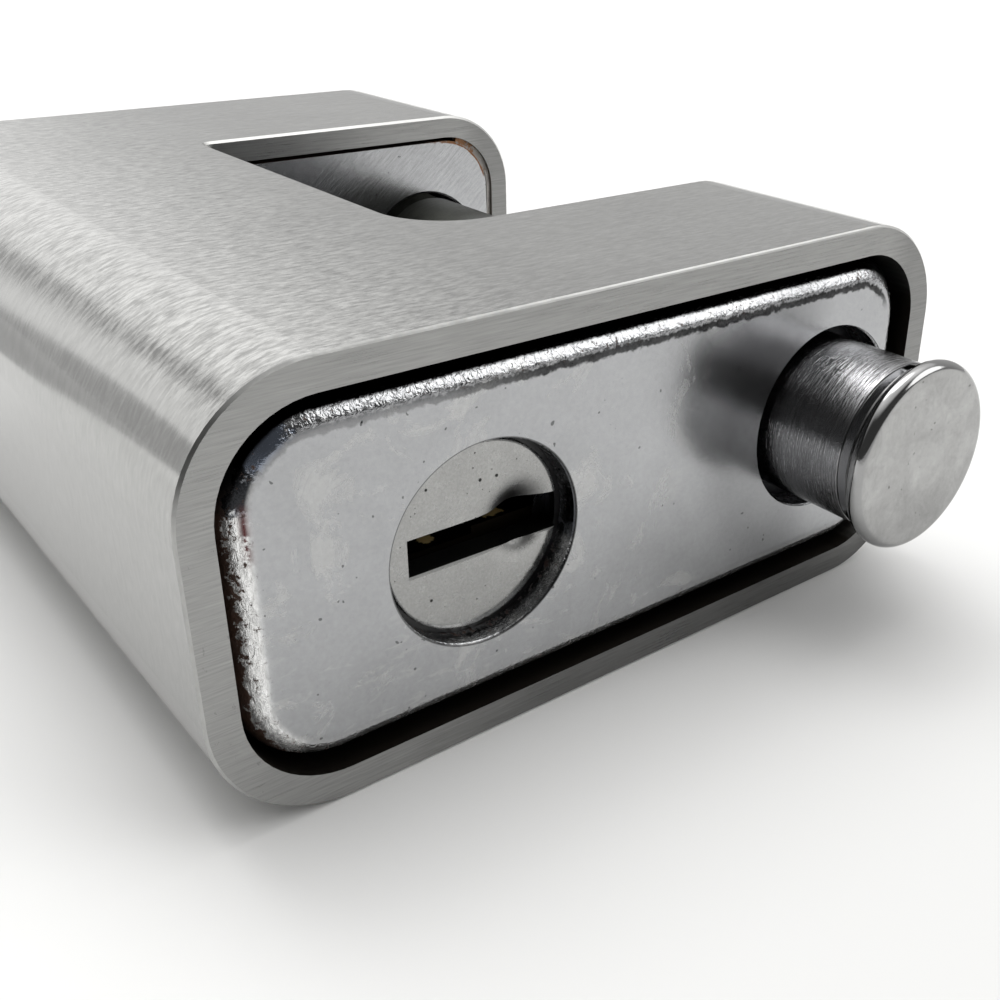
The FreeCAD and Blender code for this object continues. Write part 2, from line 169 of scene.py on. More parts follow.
class Finish(Nodes):
    """One material: a metal with constants on its sockets and the nodes that vary over it."""

    def __init__(self, name, **constants):
        self.material = bpy.data.materials.new(name)
        self.material.use_nodes = True
        super().__init__(self.material.node_tree)
        self.shader = self.tree.nodes.new("ShaderNodeBsdfPrincipled")
        output = self.tree.nodes.new("ShaderNodeOutputMaterial")
        self.tree.links.new(self.shader.outputs[0], output.inputs["Surface"])
        for socket, value in constants.items():
            self.shader.inputs[socket.replace("_", " ")].default_value = value
        place = self.node("ShaderNodeTexCoord", output="Object")
        self.place = self.node("ShaderNodeVectorMath", {"operation": "SCALE"}, {0: place, "Scale": 1000.0})
        self.x, self.y, self.z = [
            self.node("ShaderNodeSeparateXYZ", {}, [self.place], output=axis) for axis in "XYZ"
        ]
        facing = self.node("ShaderNodeTexCoord", output="Normal")
        self.face_x, self.face_y, self.face_z = [
            abs(self.node("ShaderNodeSeparateXYZ", {}, [facing], output=axis)) for axis in "XYZ"
        ]

    def inset(self):
        """Millimetres in from the sleeve's outline, across the bolt.

        A rounded rectangle's distance: the corner radius, less the length of what reaches past the
        corner centres, less the larger reach where both are inside.
        """
        reach_y = abs(self.y - MIDDLE_Y) - (HALF_WIDTH - MEAN_CORNER)
        reach_z = abs(self.z - MIDDLE_Z) - (HALF_HEIGHT - MEAN_CORNER)
        corner = (reach_y.larger(0.0) ** 2 + reach_z.larger(0.0) ** 2) ** 0.5
        return MEAN_CORNER - corner - reach_y.larger(reach_z).smaller(0.0)

    def from_axis(self, y, z):
        """Millimetres from a line along X."""
        across, up = self.y - y, self.z - z
        return (across * across + up * up) ** 0.5

    def stretched(self, across_x, across_y, across_z, shift=0.0):
        """The place in millimetres, multiplied along each axis, for noise in lines."""
        return self.node("ShaderNodeCombineXYZ", {}, [
            self.x * across_x + shift, self.y * across_y, self.z * across_z])

    def noise(self, place, scale=1.0, detail=2.0, roughness=0.5, distortion=0.0):
        """Smooth noise between 0 and 1, about 0.5 on average."""
        return self.node("ShaderNodeTexNoise", {}, {
            "Vector": place,
            "Scale": scale,
            "Detail": detail,
            "Roughness": roughness,
            "Distortion": distortion,
        })

    def blend(self, factor, first, second):
        """A colour between two colours."""
        return self.node("ShaderNodeMix", {"data_type": "RGBA"}, {0: factor, 6: first, 7: second}, output=2)

    def tint(self, colour, factor):
        """A colour made lighter or darker by a number."""
        if not isinstance(colour, Value):
            colour = colour[:3]
        return self.node("ShaderNodeVectorMath", {"operation": "SCALE"}, {0: colour, "Scale": factor})

    def bump(self, height, distance, strength):
        """A normal from a height in units of the distance, in metres."""
        inputs = {"Strength": strength, "Distance": distance, "Height": height}
        return self.node("ShaderNodeBump", {}, inputs)

    def set(self, **links):
        for socket, value in links.items():
            self.tree.links.new(value.socket, self.shader.inputs[socket.replace("_", " ")])
        return self.material


def rgb(r, g, b):
    return (r, g, b, 1.0)


# Shapes. Points are worked out in millimetres and put into the mesh in metres.


def outline(inset, per_corner=24, per_side=1):
    """Points round the sleeve's outline drawn in by an inset: four quarter circles joined by straight sides.

    A corner point is its circle's centre + radius * (cos a, sin a), with a even over a quarter turn.
    """
    y0, y1 = SLEEVE_Y0 + inset, SLEEVE_Y1 - inset
    z0, z1 = SLEEVE_Z0 + inset, SLEEVE_Z1 - inset
    rc, ro = CLOSED_CORNER - inset, OPEN_CORNER - inset
    corners = [
        (y1 - ro, z0 + ro, ro, -90),
        (y1 - ro, z1 - ro, ro, 0),
        (y0 + rc, z1 - rc, rc, 90),
        (y0 + rc, z0 + rc, rc, 180),
    ]
    arcs = []
    for y, z, r, start in corners:
        a = np.radians(start + np.linspace(0, 90, per_corner + 1))
        arcs.append(np.stack([y + r * np.cos(a), z + r * np.sin(a)], 1))
    ring = []
    for arc, following in zip(arcs, arcs[1:] + arcs[:1]):
        ring.append(arc)
        share = np.linspace(0, 1, per_side + 1)[1:-1, None]
        ring.append(arc[-1] * (1 - share) + following[0] * share)
    return np.concatenate(ring)


def tube(rings):
    """Faces of a closed skin over rings of equal length: quads between rings, one face over each end."""
    rows, count = rings.shape[:2]
    i = np.arange(rows - 1)[:, None] * count
    j = np.arange(count)[None, :]
    k = (j + 1) % count
    quads = np.stack([i + j, i + k, i + count + k, i + count + j], -1).reshape(-1, 4)
    caps = [list(range(count))[::-1], list(range((rows - 1) * count, rows * count))]
    return rings.reshape(-1, 3), quads.tolist() + caps


def lathe(profile, y, z, around=128):
    """A profile of (x, radius) turned about a line along X: y + r cos t, z + r sin t."""
    x, r = np.array(profile, float).T
    t = np.linspace(0, 2 * math.pi, around, endpoint=False)
    rings = np.stack([
        np.repeat(x[:, None], around, 1),
        y + r[:, None] * np.cos(t),
        z + r[:, None] * np.sin(t)], -1)
    return tube(rings)


def prism(points, z0, z1):
    """A flat outline of (x, y) points carried straight up from z0 to z1."""
    flat = np.array(points, float)
    rings = np.stack([np.column_stack([flat, np.full(len(flat), z)]) for z in (z0, z1)])
    return tube(rings)


def arc(x, y, r, start, end, steps):
    """Points of (x, y) on a circle between two angles in degrees."""
    a = np.radians(np.linspace(start, end, steps + 1))
    return list(zip(x + r * np.cos(a), y + r * np.sin(a)))


def waves(points, length, seed):
    """Smooth unevenness, mostly between -1 and 1: a sum of 24 sines in set random directions."""
    rng = np.random.default_rng(seed)
    total = np.zeros(points.shape[:-1])
    for _ in range(24):
        way = rng.normal(size=3)
        way *= 2 * math.pi / (length * rng.uniform(0.6, 1.7)) / np.linalg.norm(way)
        total = total + np.sin(points @ way + rng.uniform(0, 2 * math.pi))
    return total / 5.0


def make_mesh(name, points, faces):
    mesh = bpy.data.meshes.new(name)
    mesh.from_pydata((np.asarray(points) * MILLIMETRE).tolist(), [], faces)
    work = bmesh.new()
    work.from_mesh(mesh)
    bmesh.ops.recalc_face_normals(work, faces=work.faces)
    work.to_mesh(mesh)
    work.free()
    piece = bpy.data.objects.new(name, mesh)
    bpy.context.scene.collection.objects.link(piece)
    return piece


def cut(piece, shape):
    """Cuts a closed shape out of a piece."""
    cutter = make_mesh("cutter", *shape)
    step = piece.modifiers.new("cut", "BOOLEAN")
    step.operation = "DIFFERENCE"
    step.solver = "EXACT"
    step.object = cutter
    bpy.context.view_layer.update()
    cut_piece = piece.evaluated_get(bpy.context.evaluated_depsgraph_get())
    cut_mesh = bpy.data.meshes.new_from_object(cut_piece)
    piece.modifiers.clear()
    piece.data = cut_mesh
    bpy.data.objects.remove(cutter)


def finish_piece(piece, slot, body, angle=32.0):
    """Smooth shading with crisp edges where faces meet at more than an angle, then its material and body."""
    work = bmesh.new()
    work.from_mesh(piece.data)
    bmesh.ops.remove_doubles(work, verts=work.verts, dist=1e-7)
    work.to_mesh(piece.data)
    work.free()
    piece.data.shade_smooth()
    piece.data.set_sharp_from_angle(angle=math.radians(angle))
    weighted = piece.modifiers.new("even_shading", "WEIGHTED_NORMAL")
    weighted.keep_sharp = True
    weighted.weight = 80
    piece.data.materials.clear()
    piece.data.materials.append(finishes[slot])
    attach(piece, body)
    return piece


def make_plating(name, side):
    """The plating over one end of the core: its flat face and rippled round rim, as a thin closed skin.

    A rim point is at angle a: set back r (1 - cos a) from the end and drawn in r (1 - sin a) from the sides.
    """
    r, base, end = CORE_RIM_RADIUS, CORE_INSET, CORE_FRONT
    a = np.linspace(0, math.pi / 2, 17)
    back = np.concatenate([r * (1 - np.cos(a)), [3.6, 4.6]])
    draw = np.concatenate([r * (1 - np.sin(a)), [0.0, 0.0]])
    proud = np.concatenate([np.full(18, 0.03), [-0.03]])
    rings = []
    for b, d, p, turn in zip(back, draw, proud, np.concatenate([a, [math.pi / 2] * 2])):
        ring = outline(base + d - p * math.sin(turn), 28, 140)
        rings.append(np.column_stack([np.full(len(ring), end - b + p * math.cos(turn)), ring]))
    outer = np.stack(rings)
    lift = waves(outer, 2.6, 5) * 0.014 + waves(outer, 1.1, 6) * 0.005
    fade = np.sin(np.clip(np.concatenate([a, [1.2, 0.4]]), 0, math.pi / 2))[:, None]
    centre = np.array([outer[..., 0].mean(), MIDDLE_Y, MIDDLE_Z])
    outward = outer - centre
    outward[..., 0] = 0
    outward /= np.linalg.norm(outward, axis=-1, keepdims=True)
    outer = outer + outward * (lift * fade * 0.8)[..., None]
    inner = outer[::-1].copy()
    inner[..., 0] -= 0.10
    points, faces = tube(np.concatenate([outer, inner]))
    points[:, 0] *= side
    piece = make_mesh(name, points, faces)
    if side > 0:
        cut(piece, lathe([(38, 7.78), (45, 7.78)], DISC_Y, DISC_Z))
        cut(piece, lathe([(38, 8.1), (45, 8.1)], BOLT_Y, BOLT_Z))
    return finish_piece(piece, "core_plate", "lock_body")


def make_gap_dirt():
    """Dried dirt in the gap of the far leg on its open side: a flat strip along a part of the outline.

    Its section is a rectangle between two insets of the outline and two depths, carried round the corner.
    """
    outer, inner = outline(2.42, 24, 8), outline(2.92, 24, 8)
    keep = (outer[:, 0] > 46.0) & (outer[:, 1] > 8.0)
    order = np.argsort(np.arctan2(outer[keep, 1] - MIDDLE_Z, outer[keep, 0] - 44.0))
    outer, inner = outer[keep][order], inner[keep][order]
    front = -19.75 + waves(np.column_stack([outer, outer[:, 0]]), 2.0, 9) * 0.08
    back = np.full(len(front), -20.4)
    corners = [(front, outer), (front, inner), (back, inner), (back, outer)]
    rows = [np.column_stack([x, ring]) for x, ring in corners]
    piece = make_mesh("gap_dirt", *tube(np.stack(rows, 1)))
    return finish_piece(piece, "core_plate", "lock_body")


def make_bolt_bar():
    """The bolt: turned bar with a rolled bead for a head, a groove for the latch and a long slot below."""
    r, head = BOLT_RADIUS, HEAD_RADIUS
    tip, face = BOLT_TIP, BOLT_FACE
    profile = [(tip, 0.0), (tip, r - 0.8), (tip + 0.12, r - 0.62), (tip + 0.7, r - 0.08), (tip + 0.9, r)]
    profile += [(-23.3, r), (-23.25, r - 0.05), (-23.25, 4.2), (-18.75, 4.2), (-18.75, r - 0.05), (-18.7, r)]
    profile += [(51.00, r), (51.06, r - 0.12), (51.16, r - 0.12), (51.22, r + 0.04)]
    profile += [(52.14, r + 0.34), (52.22, r + 0.22)]
    bead = np.radians(np.linspace(160, 12, 23))
    profile += [(face - 0.80 + 0.80 * math.cos(t), head - 0.76 + 0.76 * math.sin(t)) for t in bead]
    profile += [(face, head - 0.86), (face, 0.0)]
    piece = make_mesh("bolt_bar", *lathe(profile, BOLT_Y, BOLT_Z, 160))
    half, top = STOP_SLOT_HALF, BOLT_Z - BOLT_RADIUS + STOP_SLOT_DEPTH
    x0, x1 = STOP_PIN_X - BOLT_OUTWARDS, STOP_PIN_X + BOLT_INWARDS
    slot = arc(x1, BOLT_Y, half, -90, 90, 24) + arc(x0, BOLT_Y, half, 90, 270, 24)
    cut(piece, prism(slot, 5.0, top))
    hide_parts("bolt")
    return finish_piece(piece, "bolt_steel", "bolt_body")


def make_key_disc():
    """The guard disc: an edge worn soft at its lower right, a dish that blends into the face, and the slot.

    The face is a polar grid; the dish is depth * exp(-(d / width)^2), d from its centre. The edge is a
    quarter ellipse whose width grows with the cosine of the angle from the worn place.
    """
    y, z = DISC_Y, DISC_Z
    face, step, back = DISC_FACE, DISC_BACK + 1.0, DISC_BACK
    turn = np.linspace(0, math.pi / 2, 13)[1:]
    t = np.linspace(0, 2 * math.pi, 160, endpoint=False)
    worn = 0.22 + 1.1 * np.clip(np.cos(t + 0.75) * 0.7 + 0.3, 0.0, 1.0) ** 2
    flat = np.linspace(0.0, 1.0, 56)[1:, None] * (DISC_RADIUS - worn)
    r = np.concatenate([flat, DISC_RADIUS - worn * (1 - np.sin(turn))[:, None]])
    drop = np.concatenate([flat * 0.0, worn * 0.55 * (1 - np.cos(turn))[:, None]])
    yy = r * np.cos(t)
    zz = r * np.sin(t)
    depth = 1.5 * np.exp(-(np.hypot(yy - 3.6, zz - 0.5) / 1.9) ** 2)
    xx = face - drop - depth * np.clip((7.2 - r) / 0.6, 0, 1)
    rows = [np.stack([xx, y + yy, z + zz], -1)]
    flange = [(step + 0.02, DISC_RADIUS), (step, 7.26), (step, 7.6), (step - 0.05, 7.65)]
    flange += [(back + 0.05, 7.65), (back, 7.6), (back, 0.3)]
    for x, radius in flange:
        rows.append(np.stack([np.full(160, x), y + radius * np.cos(t), z + radius * np.sin(t)], -1)[None])
    piece = make_mesh("key_disc", *tube(np.concatenate(rows)))
    reach, half = DISC_SLOT_REACH, DISC_SLOT_HALF
    corner = [(38, y - reach), (46, y - reach), (46, y + 12), (38, y + 12)]
    cut(piece, prism(corner, z - half, z + half))
    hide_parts("guard_disc")
    return finish_piece(piece, "disc_steel", "guard_body", 40.0)


def brushed_sleeve():
    """Satin steel, ground round the sleeve, with sawn lines across its two end faces; painted shade on the sides,
    the inner walls and the ends' lower right, and a painted highlight along the top edges.
    """
    f = Finish("brushed_sleeve", Metallic=1.0)
    fine = f.noise(f.stretched(5.0, 0.80, 0.80), 1.0, 3.0, 0.7)
    long = f.noise(f.stretched(1.7, 0.07, 0.07, 20.0), 1.0, 3.0, 0.6, 0.3)
    short = f.noise(f.stretched(2.6, 0.75, 0.75, 50.0), 1.0, 3.0, 0.65)
    strokes = (short.rise(0.50, 0.62) - short.rise(0.50, 0.38)) * (f.y.rise(20.0, -4.0) * 0.8 + 0.2)
    sawn = f.noise(f.stretched(0.5, 0.22, 6.5), 1.0, 3.0, 0.65)
    end = f.face_x.rise(0.75, 0.95)
    edge = f.face_x.rise(0.45, 0.6) * f.face_x.rise(0.85, 0.78)
    satin = f.face_z.rise(0.86, 0.62) * (1 - end)
    ground = (fine * 0.7 + long * 0.3 + strokes * 0.34 - 0.5) * (1 - satin * 0.75) + 0.5
    lines = ground + (sawn - ground) * end
    cloud = f.noise(f.place, 0.10, 4.0, 0.6)
    wear = f.noise(f.place, 0.45, 4.0, 0.7).rise(0.60, 0.72)
    speck = f.noise(f.place, 1.7, 2.0).rise(0.70, 0.78)
    nick = f.noise(f.stretched(1.0, 1.6, 0.8, 70.0), 1.0, 4.0, 0.75).rise(0.63, 0.68) * end
    nick = nick * f.y.rise(-9.0, -11.0) * f.z.rise(26.0, 20.0)
    lift = (lines - 0.5) * 0.75 + (cloud - 0.5) * 0.14 + wear * 0.05 + 1.0
    # The end faces are darker than the sides, and darker toward the open side. Toward their lower right they are
    # darker still, which is painted shade.
    painted_shade_low = f.z.rise(9.0, 1.0) * f.y.rise(-6.0, 14.0)
    lift = lift * (1 - end * (painted_shade_low * 0.32 + f.y.rise(46.0, 50.0) * 0.15 + 0.36))
    lift = lift * (1 - speck * 0.10) * (1 - nick * 0.22)
    # Painted highlight: the chamfer is lighter along the top edges and fades toward the closed side. Elsewhere the
    # chamfer is a darker grey.
    painted_crest_highlight = f.inset().rise(0.14, 0.06).larger(f.x.rise(40.0, 38.0)) * f.z.rise(20.0, 28.0)
    painted_crest_highlight = painted_crest_highlight * (f.y.rise(0.0, 24.0) * 0.7 + 0.3)
    lift = lift * (edge * (painted_crest_highlight * 0.7 - 0.25) + 1)
    # Painted shade: the side faces are darker, and more so toward the bottom.
    lift = lift * (1 - f.face_y.rise(0.87, 0.94) * (f.z.rise(20.0, 6.0) * 0.10 + 0.23))
    # Painted shade: the sleeve's inner walls round the core are near black. At the far leg's open side they take a
    # pale dirt colour instead.
    inside = f.inset().rise(2.1, 2.32) * f.face_x.rise(0.6, 0.3)
    stained = f.x.rise(-15.0, -19.0) * f.y.rise(46.0, 49.0)
    dark = f.blend(stained, rgb(0.02, 0.017, 0.014), rgb(0.30, 0.27, 0.24))
    colour = f.blend(inside, f.tint(rgb(0.52, 0.52, 0.51), lift), dark)
    rough = (cloud - 0.5) * 0.08 + (lines - 0.5) * 0.12 + wear * 0.05 + 0.135
    rough = rough + end * 0.16 + inside * 0.4 + edge * 0.2
    relief = f.bump(lines - nick * 1.5, 0.00003, 0.18)
    return f.set(Base_Color=colour, Roughness=rough, Metallic=1 - inside * stained * 0.8, Normal=relief)


def plated_core():
    """Dull bluish plating with pale water marks, crinkled round its rims, with rust at the gap; painted shade in
    the gap, the bolt holes and round the disc, and painted reflections on the rims and by the bolt.
    """
    f = Finish("plated_core", Metallic=1.0)
    cloud = f.noise(f.place, 0.12, 5.0, 0.62, 0.6)
    stain = f.noise(f.place, 0.15, 6.0, 0.66, 1.4)
    axis = f.from_axis(BOLT_Y, BOLT_Z)
    clear = axis.rise(14.0, 20.0) * f.x.rise(-10.0, 10.0)
    smudge = stain.rise(0.585, 0.605) * clear
    dried = stain.rise(0.545, 0.57) * stain.rise(0.60, 0.575) * clear
    wiped = f.noise(f.stretched(0.2, 0.16, 0.75, 30.0), 1.0, 4.0, 0.6, 2.2).rise(0.56, 0.64)
    wiped = wiped * f.z.rise(15.0, 9.0) * f.y.rise(16.0, 4.0)
    grain = f.noise(f.place, 3.0, 3.0, 0.65)
    dot = f.noise(f.stretched(1.5, 1.5, 1.5, 7.0), 1.0, 1.0).rise(0.765, 0.79)
    rim = abs(f.x).rise(43.53, 43.38) * abs(f.x).rise(40.4, 41.2)
    patchy = f.noise(f.place, 0.9, 4.0, 0.7)
    ragged = f.noise(f.place, 1.6, 4.0, 0.75)
    closed_side = f.y.rise(-6.0, -10.5)
    deep = (abs(f.x) - closed_side * 0.35).rise(42.9, 41.7)
    inset = f.inset()
    rust = ragged * 1.7 + deep * (closed_side * 0.44 + 0.16) + closed_side * 0.04 - 0.35
    rust = rust.rise(0.69, 0.80) * rim
    skin = inset.rise(3.45, 3.1) * f.face_x.rise(0.75, 0.5)
    left = rim * f.y.rise(-7.0, -9.0) * f.z.rise(27.0, 24.0)
    # The left rim, and to a lesser degree the lower rim, have a duller finish and painted sheen: a lighter colour,
    # and on the left rim painted light and dark streaks.
    dull_and_sheen = left.larger(rim * f.z.rise(8.0, 5.5) * 0.35)
    ripple = f.noise(f.stretched(0.8, 3.4, 1.3, 60.0), 1.0, 4.0, 0.7, 0.6)
    # Painted reflection of dark surroundings: a blue-grey patch, with a black patch below it, at the top-left
    # corner of the rim.
    blue = (f.from_axis(-8.9, 27.0) + (patchy - 0.5) * 4.0).rise(2.2, 1.5)
    black_patch = (f.from_axis(-10.3, 24.2) + (patchy - 0.5) * 4.0).rise(1.9, 1.1)
    # Painted reflection: a dark red patch on the left rim.
    painted_red_reflection = f.from_axis(-9.6, 21.5).rise(2.6, 1.2) * inset.rise(3.9, 4.4) * patchy.rise(0.40, 0.52)
    near = f.x.rise(0.0, 10.0)
    painted_reflection_patch = rim * blue.larger(black_patch)
    # Painted dark reflection: a ragged dark band along the inner border of the top rim, under its highlight.
    painted_dark_band = (inset + (ragged - 0.5)).rise(4.6, 4.8) * (inset + (patchy - 0.5) * 1.1).rise(5.35, 5.1)
    painted_dark_band = painted_dark_band * f.z.rise(24.0, 26.0) * near * (f.y.rise(-2.0, 14.0) * 0.6 + 0.4)
    # Painted shade: where the top rim runs back under the sleeve, it is near black.
    gap = (abs(f.x) + (patchy - 0.5) * 0.15).rise(43.16, 42.98) * abs(f.x).rise(38.0, 40.0)
    gap = gap * f.z.rise(22.0, 25.0)
    far_leg = f.x.rise(-19.0, -19.6) * f.x.rise(-20.6, -20.0) * f.face_x.rise(0.8, 0.95)
    corner = inset.rise(3.35, 3.05) * f.y.rise(38.0, 46.0) * f.z.rise(20.0, 26.0) * far_leg
    slanting = f.node("ShaderNodeCombineXYZ", {}, [f.y * 0.35 + f.z * 0.25, f.z * 2.2 - f.y * 1.9, 0.0])
    brushed = (f.noise(slanting, 1.0, 3.0, 0.6) - 0.5) * far_leg
    # Painted shade: the walls of the two bolt holes are near black.
    far_bore = axis.rise(7.42, 7.34) * f.x.rise(-36.0, -34.0)
    near_bore = axis.rise(8.05, 7.98) * f.x.rise(38.0, 39.0) * f.x.rise(42.2, 41.2)
    painted_bore_shade = far_bore.larger(near_bore)
    pale = (smudge * 0.6 + dried * 0.4 + wiped * 0.5 * clear).smaller(1.0)
    plate = f.blend(pale, rgb(0.44, 0.445, 0.455), rgb(0.56, 0.56, 0.555))
    plate = f.blend(dull_and_sheen * 0.9, plate, rgb(0.86, 0.86, 0.85))
    shade = (cloud - 0.5) * 0.30 + (grain - 0.5) * 0.26 + brushed * 0.5 + 1.0 - dot * 0.6 - painted_dark_band * 0.88
    # Painted reflection: the plating is darker where the bolt is mirrored in it.
    painted_bolt_reflection = axis.rise(16.0, 11.0) * f.y.rise(42.0, 37.0) * near
    shade = (shade + (ripple - 0.44) * left * 2.2) * (1 - painted_bolt_reflection * 0.28)
    reflection_patch_colour = f.blend(black_patch, rgb(0.42, 0.48, 0.60), rgb(0.03, 0.032, 0.036))
    plate = f.blend(painted_reflection_patch, f.tint(plate, shade), reflection_patch_colour)
    plate = f.blend(painted_red_reflection * left, plate, rgb(0.10, 0.03, 0.03))
    rust = rust.larger(skin).larger((patchy * 0.6 + corner * 0.5).rise(0.68, 0.76) * corner)
    brown = f.blend(patchy, rgb(0.02, 0.012, 0.009), rgb(0.11, 0.055, 0.035))
    brown = f.blend(corner, brown, rgb(0.34, 0.14, 0.05))
    shadow = f.blend(gap, rgb(0.02, 0.02, 0.022), rgb(0.001, 0.001, 0.001))
    colour = f.blend(gap.larger(painted_bore_shade), f.blend(rust, plate, brown), shadow)
    dirt = inset.rise(2.95, 2.93) * f.x.rise(-19.0, -19.4) * f.x.rise(-21.0, -20.6) * f.y.rise(40.0, 45.0)
    orange = dirt * (patchy + f.z.rise(22.0, 30.0) * 0.2).rise(0.58, 0.70)
    dried_mud = f.tint(rgb(0.50, 0.48, 0.45), patchy * 0.8 + 0.5)
    colour = f.blend(dirt, colour, f.blend(orange, dried_mud, rgb(0.36, 0.17, 0.07)))
    # Painted shade: the recess wall round the disc is dark blue-grey, darkest beside the slot's end and lighter
    # toward the bottom. A painted dark line marks its edge.
    painted_mouth_shade = f.from_axis(DISC_Y, DISC_Z).rise(8.2, 8.0) * f.x.rise(43.495, 43.47) * near
    beside = f.y.rise(11.0, 12.5) * (f.z - DISC_Z).rise(-2.6, -1.8)
    below = (f.y - f.z).rise(2.0, -5.0)
    line = abs(f.from_axis(DISC_Y, DISC_Z) - 7.80).rise(0.08, 0.03) * near
    colour = f.blend(painted_mouth_shade * (beside * 0.6 - below * 0.2 + 0.35), colour, rgb(0.03, 0.034, 0.042))
    colour = f.blend(line * 0.7, colour, rgb(0.05, 0.05, 0.05))
    rough = (cloud - 0.5) * 0.10 + smudge * 0.06 + dried * 0.08 + 0.22
    rough = rough + (dull_and_sheen * 0.13 - 0.13) * rim + rust * 0.4 + painted_bore_shade * 0.2 + (ripple - 0.5) * left * 0.2
    crinkle = f.noise(f.place, 2.3, 3.0, 0.55, 1.0)
    crinkle = crinkle + (ripple - crinkle) * left
    depth = rim * (0.50 - painted_reflection_patch * 0.4) + left * 0.4 + 0.02
    relief = f.bump(crinkle * depth + brushed * 0.15, 0.00016, 0.8)
    metal = (1 - (rust * (1 - gap)).larger(dirt) * 0.9) * (1 - dull_and_sheen * 0.3)
    return f.set(Base_Color=colour, Roughness=rough, Metallic=metal, Normal=relief)


def turned_bolt():
    """Bright turned steel with fine rings, polished on the bead and satin on its face, with painted shade on its
    underside.
    """
    f = Finish("turned_bolt", Metallic=1.0)
    ring = f.noise(f.stretched(6.0, 0.16, 0.16), 1.0, 3.0, 0.7)
    streak = f.noise(f.stretched(4.4, 0.60, 0.60, 9.0), 1.0, 3.0, 0.7)
    shank = f.x.rise(51.05, 50.95)
    neck = f.x.rise(51.1, 51.2) * f.x.rise(52.2, 52.1)
    face = f.face_x.rise(0.9, 0.98) * f.x.rise(53.0, 53.5)
    cloud = f.noise(f.place, 0.40, 5.0, 0.68, 0.5)
    grain = f.noise(f.place, 3.2, 3.0, 0.6)
    dot = f.noise(f.place, 1.7, 1.0).rise(0.76, 0.78) * face
    # Darker and rougher toward the far leg.
    darkened_part = f.x.rise(0.0, -10.0) * f.x.rise(-30.0, -27.0)
    lines = ring * 0.45 + streak * 0.55
    # Painted shade: the underside is darker, and its rings are fainter.
    under = f.z.rise(15.5, 10.0)
    lift = (lines - 0.5) * 1.6 * shank + (cloud - 0.5) * (face * 0.5 + 0.3)
    lift = lift + (grain - 0.5) * 0.30 * face + 1.0 - dot * 0.6
    lift = lift * (1 - under * (shank * 0.25 + 0.25))
    head = f.blend(face, rgb(0.37, 0.37, 0.37), rgb(0.41, 0.41, 0.405))
    colour = f.blend(shank.larger(neck), head, rgb(0.39, 0.39, 0.40))
    colour = f.blend(darkened_part, colour, rgb(0.05, 0.052, 0.046))
    rough = 0.09 + shank * 0.08 + face * 0.12 + (cloud - 0.5) * 0.12 + darkened_part * 0.25
    relief = f.bump(lines * shank * (1 - under * 0.6) + cloud * (1 - shank) * 0.12, 0.00011, 0.9)
    return f.set(Base_Color=f.tint(colour, lift), Roughness=rough, Normal=relief)


def pitted_disc():
    """Pale satin steel with dark pits, fine scratches, a worn rougher and darker dish, painted shade on the slot's
    walls and a painted highlight along the slot's lower front edge.
    """
    f = Finish("pitted_disc", Metallic=1.0)
    cloud = f.noise(f.place, 0.45, 5.0, 0.65)
    grain = f.noise(f.place, 5.0, 3.0, 0.6)
    pit = f.node("ShaderNodeTexVoronoi", {}, {"Vector": f.place, "Scale": 0.75}).rise(0.115, 0.075)
    pit = pit * f.noise(f.place, 0.7, 1.0).rise(0.42, 0.5)
    peck = f.node("ShaderNodeTexVoronoi", {}, {"Vector": f.place, "Scale": 1.9}).rise(0.10, 0.06)
    peck = peck * f.noise(f.stretched(0.6, 0.6, 0.6, 4.0), 1.0, 1.0).rise(0.5, 0.6)
    mark = pit.larger(peck * 0.8)
    wear = f.noise(f.place, 1.4, 4.0, 0.7, 0.5).rise(0.55, 0.68)
    dish = f.from_axis(DISC_Y + 3.6, DISC_Z + 0.5).rise(3.3, 1.3)
    # Painted shade: the slot's walls are dark. Painted highlight: a light, less metallic strip along the front of
    # the slot's lower wall.
    walls = f.face_z.rise(0.95, 0.99)
    painted_lip_highlight = walls * f.x.rise(41.85, 41.92) * f.z.rise(15.0, 14.5)
    lift = (cloud - 0.5) * 0.34 + (grain - 0.5) * 0.45 + wear * 0.10 + 0.97
    lift = lift * (1 - mark * 0.85) * (1 - dish * 0.72) * (1 - (walls - painted_lip_highlight) * 0.9)
    colour = f.tint(rgb(0.40, 0.40, 0.392), lift + painted_lip_highlight * 1.25)
    rough = (cloud - 0.5) * 0.12 + wear * 0.06 + 0.25 + mark * 0.3 + dish * 0.08 + walls * 0.25
    relief = f.bump(grain * 0.25 + wear * (dish * 0.5 + 0.15) - mark * 0.8, 0.00005, 0.6)
    return f.set(Base_Color=colour, Roughness=rough, Metallic=1 - painted_lip_highlight * 0.8, Normal=relief)


def machined_brass(name, r, g, b):
    """Old brass, painted near black as shade at the front, with painted glints of bright brass in two places of
    the keyway.
    """
    f = Finish(name, Metallic=1.0)
    cloud = f.noise(f.place, 0.8, 3.0)
    ragged = f.noise(f.place, 1.6, 3.0, 0.6) - 0.5
    # Painted glints: two ragged places on the keyway's floor keep bright brass and are less metallic.
    middle = (((f.x - 38.8) * 1.2) ** 2 + (f.y - 10.1) ** 2) ** 0.5
    left = (((f.x - 38.5) * 1.4) ** 2 + ((f.y - 4.6) * 1.4) ** 2) ** 0.5
    painted_glint = (middle.smaller(left) + ragged * 1.6).rise(1.0, 0.7)
    # Painted shade: outside the glints, the front of the brass is near black.
    darkened_part = f.x.rise(36.0, 38.0) * (1 - painted_glint)
    colour = f.blend(darkened_part, f.tint(rgb(r, g, b), cloud * 0.3 + 0.85), rgb(0.008, 0.006, 0.004))
    rough = cloud * 0.15 + 0.2 + darkened_part * 0.2 + painted_glint * 0.25
    return f.set(Base_Color=colour, Roughness=rough, Metallic=1 - painted_glint * 0.6)


